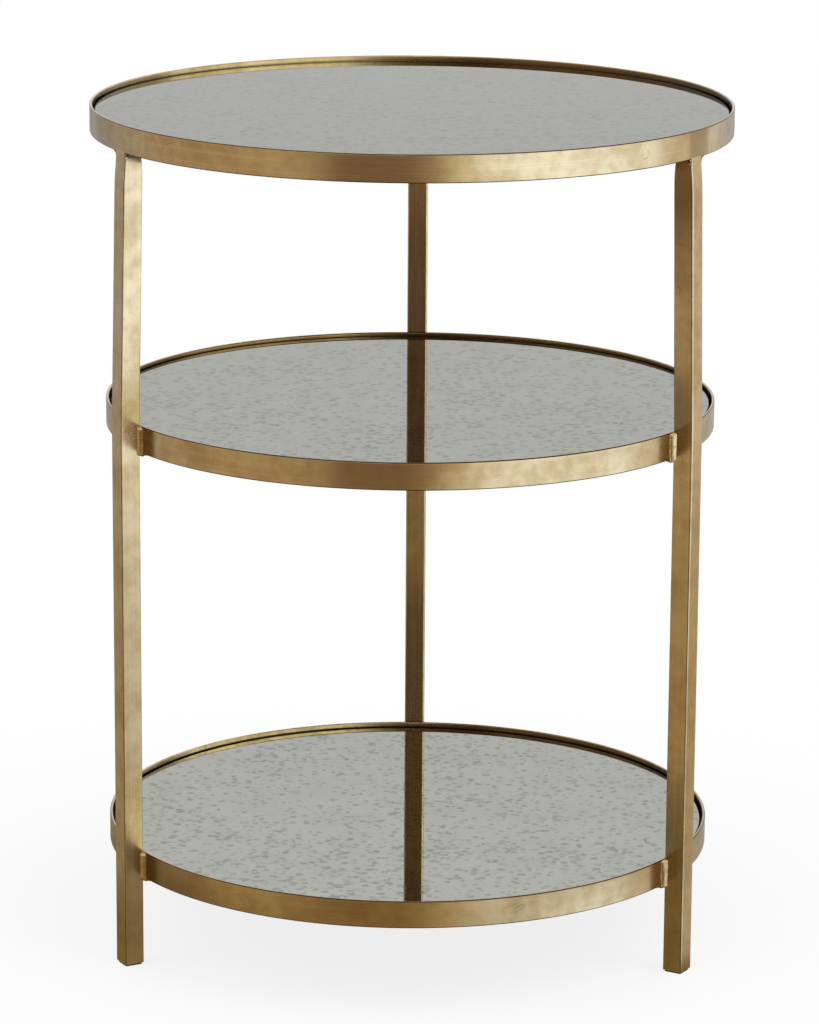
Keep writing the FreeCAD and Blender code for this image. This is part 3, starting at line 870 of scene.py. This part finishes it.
class SIDE_TABLE_OT_welds(bpy.types.Operator):
    """Lay the weld beads at the lower hoops, the ground fillets at the top and the tacks under the ledges"""

    bl_idname = "side_table.welds"
    bl_label = "Welds"

    # How deep a bead is sunk into the bars, how thin its toe runs out, and how its ends are rounded.
    SINK = 1.2 * MM
    TIP = 0.3 * MM
    ROUND_END = 2.0 * MM
    BEAD_RIPPLE, TACK_RIPPLE = 4.2 * MM, 2.2 * MM
    BEAD_HEAT, TACK_HEAT = 0.35, 0.7

    def shape_bead(self, shape):
        """One bead in the corner of the back leg and the middle hoop, with a small toe under the bar."""
        low, high = BOX["middle_hoop"]
        sink, tip = self.SINK, self.TIP
        face = LEG_HIGH.x
        wall = math.sqrt(high.x ** 2 - face ** 2)
        centre = (face - shape.bead_offset, wall - shape.bead_offset)
        bottom, top = low.z - shape.bead_tail, high.z - tip
        bead = begin(
            "bead", bpy.ops.mesh.primitive_cylinder_add, vertices=32, radius=shape.bead_radius,
            depth=top - bottom, location=(*centre, (bottom + top) / 2))
        pick(bead, "EDGE", level)
        round_off(self.ROUND_END, 5)
        for place, facing in (((face - sink, 0, 0), (1, 0, 0)), ((0, wall - sink, 0), (0, 1, 0))):
            cut(place, facing, use_fill=True, clear_inner=True)
        tidy_mesh(bead)

        reach, drop = shape.toe_reach, shape.toe_drop
        toe = begin(
            "toe", bpy.ops.mesh.primitive_cube_add, size=1.0,
            location=(face + (reach - sink) / 2, wall - 0.6 * HOOP_BAR, low.z - (drop - sink) / 2),
            scale=(reach + sink, 0.8 * HOOP_BAR, drop + sink))
        close()
        beside = begin(
            "hollow", bpy.ops.mesh.primitive_cylinder_add, vertices=64, radius=1.0, depth=1.0,
            location=(face + reach + tip, wall, low.z - drop - tip), rotation=(math.pi / 2, 0, 0),
            scale=(reach, drop, 8 * HOOP_BAR))
        close()
        round_under = (HOOP_BAR ** 2 + drop ** 2) / (2 * HOOP_BAR)
        under = begin(
            "hollow", bpy.ops.mesh.primitive_cylinder_add, vertices=128, radius=round_under,
            depth=4 * reach, location=(face, wall - round_under, low.z - drop), rotation=(0, math.pi / 2, 0))
        close()
        for hollow in (beside, under):
            carve(toe, hollow)
        bead = join([bead, toe], "bead")
        modify(bead, "REMESH", mode="VOXEL", voxel_size=shape.grain, use_smooth_shade=True)
        modify(bead, "SMOOTH", factor=0.5, iterations=6)
        return bead

    def ripple(self, piece, height, size, name):
        """Raise and sink a piece's surface in small lumps."""
        texture = bpy.data.textures.new(name, "CLOUDS")
        texture.noise_scale = size
        texture.noise_depth = 1
        modify(piece, "DISPLACE", texture=texture, texture_coords="GLOBAL", strength=height, mid_level=0.5)
        modify(piece, "SMOOTH", factor=0.5, iterations=1)

    def execute(self, context):
        shape = context.scene.side_table.weld
        bead = self.shape_bead(shape)
        home = BOX["middle_hoop"][0].z
        for tier in LOWER_TIERS:
            drop = Matrix.Translation((0, 0, BOX[f"{tier}_hoop"][0].z - home))
            beads = [
                copy_of(bead, "bead_copy", about_z(turn) @ drop @ Matrix.Scale(side, 4, (1, 0, 0)))
                for turn in LEG_TURNS.values() for side in (1, -1)]
            welds = join(beads, f"weld_beads_{tier}")
            edit(welds)
            tidy_mesh(welds)
            self.ripple(welds, shape.lumps, self.BEAD_RIPPLE, f"bead_lumps_{tier}")
            smooth_faces(welds, angle=80.0, weighted=False)
            mark(welds, "heat", lambda co, normal: self.BEAD_HEAT)
            place_piece(welds, "brass_weld", brass_for("weld"), f"{tier}_hoop_welds")
        bpy.data.objects.remove(bead)

        fillets = node_copy("top_hoop_welds", "ground_fillets_top")
        smooth_faces(fillets, angle=30.0)
        # Painted shade in the fillets' hollow.
        mark(fillets, "rim", painted_fillet_shade)
        place_piece(fillets, "brass_weld", brass_for("bar"), "top_hoop_welds")

        for tier in TIERS:
            tacks = node_copy(f"{tier}_ledge_welds", f"tack_welds_{tier}")
            modify(tacks, "REMESH", mode="VOXEL", voxel_size=shape.grain, use_smooth_shade=True)
            modify(tacks, "SMOOTH", factor=0.5, iterations=3)
            self.ripple(tacks, shape.tack_lumps, self.TACK_RIPPLE, f"tack_lumps_{tier}")
            smooth_faces(tacks, angle=80.0, weighted=False)
            mark(tacks, "heat", lambda co, normal: self.TACK_HEAT)
            place_piece(tacks, "brass_weld", brass_for("weld"), f"{tier}_ledge_welds")
        return {"FINISHED"}


class SIDE_TABLE_OT_panes(bpy.types.Operator):
    """Cut a mirror pane for each tier and grind its arris"""

    bl_idname = "side_table.panes"
    bl_label = "Mirror panes"

    def execute(self, context):
        mirror = context.scene.side_table.mirror
        finish = finish_named("antiqued_mirror_foxed", antiqued_mirror, mirror)
        for tier in TIERS:
            low, high = BOX[f"{tier}_mirror"]
            pane = begin(
                f"mirror_pane_{tier}", bpy.ops.mesh.primitive_circle_add, vertices=256, radius=high.x,
                fill_type="NGON", location=(0, 0, high.z))
            select_all()
            pull_up(low.z - high.z)
            tidy_mesh(pane)
            edit(pane)
            pick(pane, "EDGE", level)
            round_off(mirror.arris, 2, profile=0.4)
            tidy_mesh(pane)
            smooth_faces(pane, angle=30.0)
            rim = high.x - 0.8 * mirror.arris
            mark(pane, "wear", lambda co, normal: 1.0 if co.xy.length > rim else 0.0)
            mark(pane, "age", lambda co, normal: PANE_AGE[tier])
            # Painted light per pane.
            mark(pane, "painted_lighting", lambda co, normal: PANE_LIGHTING[tier])
            place_piece(pane, "antiqued_mirror", finish, f"{tier}_mirror")
        return {"FINISHED"}


class SIDE_TABLE_OT_screws(bpy.types.Operator):
    """Turn one countersunk screw with a cross recess and drive six into each tier's ledge"""

    bl_idname = "side_table.screws"
    bl_label = "Board screws"

    HEAD_RADIUS = 3.25 * MM
    HEAD_EDGE = 0.4 * MM
    SHANK_RADIUS = 1.75 * MM
    COUNTERSINK = 1.5 * MM
    COUNT = 6
    TIP, TIP_NARROW = 0.8 * MM, 0.35
    # The cross recess: size of one arm, height of its middle, how it narrows, and its turn.
    ARM = (3.6 * MM, 0.75 * MM, 1.6 * MM)
    ARM_RISE, ARM_NARROW, ARM_TURN = 0.4 * MM, 0.45, 20

    def shape_screw(self, length):
        """A screw on the table's axis, with its head flush at the origin."""
        screw = begin(
            "screw", bpy.ops.mesh.primitive_cylinder_add, vertices=32, radius=self.HEAD_RADIUS,
            depth=self.HEAD_EDGE, location=(0, 0, self.HEAD_EDGE / 2))
        shrink = self.SHANK_RADIUS / self.HEAD_RADIUS
        shank = length - self.HEAD_EDGE - self.COUNTERSINK - self.TIP
        top = self.HEAD_EDGE
        for rise, narrow in ((self.COUNTERSINK, shrink), (shank, 1.0), (self.TIP, self.TIP_NARROW)):
            pick(screw, "FACE", lambda f: f.normal.z > 0.9 and f.calc_center_median().z > top - NEAR)
            pull_up(rise)
            bpy.ops.transform.resize(value=(narrow, narrow, 1), center_override=(0, 0, 0))
            top += rise
        tidy_mesh(screw)
        arms = []
        for turn in (0, 90):
            arm = begin(
                f"arm_{turn}", bpy.ops.mesh.primitive_cube_add, size=1.0, location=(0, 0, self.ARM_RISE),
                scale=self.ARM, rotation=(0, 0, math.radians(turn + self.ARM_TURN)))
            pick(arm, "FACE", lambda f: f.normal.z > 0.9)
            bpy.ops.transform.resize(value=(self.ARM_NARROW, self.ARM_NARROW, 1), center_override=(0, 0, 0))
            close()
            arms.append(arm)
        for arm in arms:
            carve(screw, arm)
        return screw

    def execute(self, context):
        finish = finish_named("zinc_plated_steel", zinc_plate, context.scene.side_table.hidden.zinc)
        low, high = BOX["top_board_screws"]
        screw = self.shape_screw(high.z - low.z)
        for tier in TIERS:
            low, high = BOX[f"{tier}_board_screws"]
            reach = high.x - self.HEAD_RADIUS
            place = Matrix.Translation((reach, 0, low.z))
            driven = [
                copy_of(screw, "screw_copy", about_z(360.0 / self.COUNT * step) @ place)
                for step in range(self.COUNT)]
            screws = join(driven, f"countersunk_screws_{tier}")
            smooth_faces(screws, angle=30.0, weighted=False)
            place_piece(screws, "zinc_screw", finish, f"{tier}_board_screws")
        bpy.data.objects.remove(screw)
        return {"FINISHED"}


class SIDE_TABLE_OT_feet(bpy.types.Operator):
    """Mould one rubber foot pad and stick it under each leg"""

    bl_idname = "side_table.feet"
    bl_label = "Foot pads"

    CORNER = 1.5 * MM
    EDGE = 0.35 * MM

    def execute(self, context):
        finish = finish_named("matt_foot_rubber", foot_rubber, context.scene.side_table.hidden.rubber)
        low, high = BOX["foot_pad_back"]
        pad = block("rubber_foot_back", low, high)
        pick(pad, "EDGE", lambda e: not level(e))
        round_off(self.CORNER, 4)
        pick(pad, "EDGE", lambda e: max(v.co.z for v in e.verts) < low.z + NEAR)
        round_off(self.EDGE, 2)
        tidy_mesh(pad)
        smooth_faces(pad)
        for side, turn in LEG_TURNS.items():
            piece = copy_of(pad, f"rubber_foot_{side}", about_z(turn)) if turn else pad
            place_piece(piece, "foot_rubber", finish, f"foot_pad_{side}")
        return {"FINISHED"}


class SIDE_TABLE_OT_tier_inside(bpy.types.Operator):
    """Finish the ledges, boards and adhesive pads that carry the panes"""

    bl_idname = "side_table.tier_inside"
    bl_label = "Ledges, boards and adhesive"

    def execute(self, context):
        hidden = context.scene.side_table.hidden
        finishes = {
            "ledge": brass_for("hoop"),
            "board": finish_named("stained_fibreboard", fibreboard, hidden.board),
            "mirror_adhesive": finish_named("mirror_mastic", mastic, hidden.mastic)}
        for tier in TIERS:
            for part, finish in finishes.items():
                for holder in frame["nodes"][f"{tier}_{part}"].material_slots:
                    holder.material = finish
        return {"FINISHED"}


# Studio

class SIDE_TABLE_OT_studio(bpy.types.Operator):
    """Set up the floor, the soft light and the camera"""

    bl_idname = "side_table.studio"
    bl_label = "Studio"

    # Brightness round the room, by angle from the table's front towards +X.
    ROOM = (
        (-180, (0.48, 0.48, 0.50)), (-145, (0.44, 0.44, 0.45)), (-118, (0.57, 0.55, 0.52)),
        (-95, (0.66, 0.56, 0.44)), (-75, (0.62, 0.51, 0.35)), (-52, (0.66, 0.56, 0.38)),
        (-34, (0.58, 0.47, 0.33)), (-24, (0.26, 0.17, 0.11)), (4, (0.26, 0.17, 0.11)),
        (18, (1.00, 0.95, 0.72)), (34, (1.60, 1.85, 2.15)), (88, (1.68, 2.00, 2.45)),
        (104, (1.00, 0.98, 0.90)), (120, (0.88, 0.81, 0.70)), (134, (0.95, 0.96, 0.98)),
        (150, (0.62, 0.62, 0.63)), (180, (0.48, 0.48, 0.50)))
    # The bright side of the room, as the brass sees it in the mirrors.
    WINDOW = (2.8, 3.0, 2.6)
    WINDOW_FROM, WINDOW_FULL = 0.9, 1.6
    HORIZON = 0.06
    # Painted shadow of the floor round the table, as metal sees it in its reflections.
    PAINTED_FLOOR_SHADE = (0.46, 0.34, 0.13, 1.0)
    WHITE = (1, 1, 1, 1)
    KEY_PLACE, FILL_PLACE, LAMP_SIZE = (1.5, -1.0, 2.2), (-1.7, -0.8, 2.0), 1.6
    LAMP_AIM = 0.3

    def build_world(self, studio):
        """White to the camera; a soft room to metal; even light to matt surfaces."""
        world = bpy.data.worlds.new("soft_studio")
        bpy.context.scene.world = world
        w = Nodes(world)
        path = w.add("LightPath").outputs
        toward = w.add("TexCoord").outputs["Generated"]
        turned = w.add("Mapping", {"Vector": toward, "Rotation": (0, 0, math.pi / 2)})
        round_room = w.add(
            "TexGradient", {"Vector": turned.outputs["Vector"]}, gradient_type="RADIAL")
        ramp = w.add("ValToRGB", {"Fac": round_room.outputs["Fac"]})
        stops = ramp.color_ramp.elements
        while len(stops) < len(self.ROOM):
            stops.new(0.5)
        for stop, (angle, colour) in zip(stops, self.ROOM):
            stop.position = 0.5 + angle / 360.0
            stop.color = (*colour, 1.0)
        room = ramp.outputs["Color"]
        height = w.add("SeparateXYZ", {"Vector": toward}).outputs["Z"]
        above = w.span(height, -self.HORIZON, self.HORIZON)
        open_sky = w.times(above, w.maths("LESS_THAN", path["Glossy Depth"], 1.5))
        later = w.maths("SUBTRACT", above, open_sky)
        bright = w.span(room, self.WINDOW_FROM, self.WINDOW_FULL, ease="LINEAR")
        seen = w.blend(open_sky, room, (1, 1, 1))
        mirrored = w.blend(w.times(later, bright), seen, self.WINDOW)
        shown = w.add("Background", {"Color": mirrored, "Strength": 1.0})
        even = w.add("Background", {"Color": self.WHITE, "Strength": studio.ambient})
        white = w.add("Background", {"Color": self.WHITE, "Strength": 1.0})
        lit = w.mix(path["Is Glossy Ray"], even, shown)
        plain = w.maths("MAXIMUM", path["Is Camera Ray"], path["Is Transmission Ray"])
        w.add("OutputWorld", {"Surface": w.mix(plain, lit, white).outputs[0]})

    def build_floor(self, studio):
        """A pale one-sided floor that keeps the table's shadow and fades out into the white; metal sees a
        painted shadow round the table, with a painted lit patch on its right, and looks through the rest.
        """
        floor = begin(
            "studio_floor", bpy.ops.mesh.primitive_circle_add, vertices=128, radius=studio.floor_radius,
            fill_type="NGON")
        select_all()
        bpy.ops.mesh.inset(thickness=studio.floor_radius * 0.5)
        close()
        f = Finish("pale_floor")
        path = f.add("LightPath").outputs
        behind = f.add("NewGeometry").outputs["Backfacing"]
        far = f.add("VectorMath", {0: f.place}, operation="LENGTH").outputs["Value"]
        grain = f.noise(3 * MM, detail=2.0)
        paper = f.add("BsdfDiffuse", {
            "Color": (*studio.floor_colour, 1.0), "Normal": f.bump(grain, 0.02 * MM)})
        white = f.add("Emission", {"Color": self.WHITE, "Strength": 1.0})
        clear = f.add("BsdfTransparent")
        fade = f.times(path["Is Camera Ray"], f.span(far, 0.20, 0.62, 0.84, 1.0))
        shown = f.mix(fade, paper, white)
        # Painted shadow: a dim glowing patch that metal sees on the floor round the table.
        painted_floor_shadow = f.add("Emission", {
            "Color": self.PAINTED_FLOOR_SHADE, "Strength": f.span(far, 0.30, 0.50, 0.6, 1.0)})
        near = f.maths("ADD", f.span(far, 0.30, 0.42, 0.36, 0.0), f.span(far, 0.8, 2.1, 0.58, 0.0))
        to_right = f.add("SeparateXYZ", {"Vector": f.place}).outputs["X"]
        # Painted light: the painted shadow thins on the right, a lit patch in the reflections.
        lit_patch = f.times(f.span(to_right, 0.20, 0.26), f.span(far, 0.38, 0.44, 0.65, 0.0))
        near = f.times(near, f.maths("SUBTRACT", 1.0, lit_patch))
        to_metal = f.mix(near, clear, painted_floor_shadow)
        front = f.mix(path["Is Glossy Ray"], shown, to_metal)
        final = f.mix(behind, front, clear)
        f.add("OutputMaterial", {"Surface": final.outputs[0]})
        floor.data.materials.append(f.material)

    def hang_lamp(self, name, power, place, size):
        """A soft square lamp aimed at the middle of the table."""
        aim = Vector((0, 0, self.LAMP_AIM))
        bpy.ops.object.light_add(type="AREA", location=place)
        lamp = bpy.context.active_object
        lamp.name = lamp.data.name = name
        lamp.data.energy = power
        lamp.data.size = size
        lamp.rotation_euler = (aim - Vector(place)).to_track_quat("-Z", "Y").to_euler()
        lamp.visible_glossy = False
        lamp.visible_camera = False

    def set_camera(self, studio):
        """A long lens on the table's front, a little above it."""
        eye = Vector((
            math.sin(studio.camera_heading) * studio.camera_distance,
            -math.cos(studio.camera_heading) * studio.camera_distance, studio.camera_height))
        look = Vector((0, 0, studio.aim_height)) - eye
        bpy.ops.object.camera_add(location=eye)
        camera = bpy.context.active_object
        camera.name = camera.data.name = "studio_camera"
        camera.rotation_mode = "QUATERNION"
        camera.rotation_quaternion = (
            look.to_track_quat("-Z", "Y") @ Quaternion((0, 0, 1), studio.camera_roll))
        camera.data.lens = studio.camera_lens
        camera.data.sensor_width = 36.0
        camera.data.dof.use_dof = False
        bpy.context.scene.camera = camera

    def execute(self, context):
        studio = context.scene.side_table.studio
        deselect_all()
        self.build_world(studio)
        self.build_floor(studio)
        deselect_all()
        self.hang_lamp("key_lamp", studio.key_power, self.KEY_PLACE, self.LAMP_SIZE)
        self.hang_lamp("fill_lamp", studio.fill_power, self.FILL_PLACE, self.LAMP_SIZE)
        self.set_camera(studio)
        context.scene.view_settings.view_transform = "Standard"
        return {"FINISHED"}


STEPS = (
    SIDE_TABLE_OT_legs, SIDE_TABLE_OT_hoops, SIDE_TABLE_OT_welds, SIDE_TABLE_OT_panes,
    SIDE_TABLE_OT_screws, SIDE_TABLE_OT_feet, SIDE_TABLE_OT_tier_inside, SIDE_TABLE_OT_studio)


class SIDE_TABLE_PT_steps(bpy.types.Panel):
    """Lists the steps that make the side table, with their settings"""

    bl_idname = "SIDE_TABLE_PT_steps"
    bl_label = "Side table"
    bl_space_type = "VIEW_3D"
    bl_region_type = "UI"
    bl_category = "Side table"

    def draw(self, context):
        settings = context.scene.side_table
        for step in STEPS:
            self.layout.operator(step.bl_idname)
        for group in ("frame", "weld", "brass", "mirror", "hidden", "studio"):
            box = self.layout.box()
            box.label(text=group.capitalize())
            for name in getattr(settings, group).bl_rna.properties.keys():
                if name not in ("rna_type", "name"):
                    box.prop(getattr(settings, group), name)


CLASSES = (
    FrameShape, WeldShape, BrassFinish, MirrorFinish, HiddenFinish, StudioSetup, TableSettings,
    *STEPS, SIDE_TABLE_PT_steps)


def register():
    for item in CLASSES:
        bpy.utils.register_class(item)
    bpy.types.Scene.side_table = PointerProperty(type=TableSettings)


def unregister():
    del bpy.types.Scene.side_table
    for item in reversed(CLASSES):
        bpy.utils.unregister_class(item)


def main():
    register()
    bpy.ops.side_table.legs()
    bpy.ops.side_table.hoops()
    bpy.ops.side_table.welds()
    bpy.ops.side_table.panes()
    bpy.ops.side_table.screws()
    bpy.ops.side_table.feet()
    bpy.ops.side_table.tier_inside()
    bpy.ops.side_table.studio()
    deselect_all()


if __name__ == "__main__":
    main()
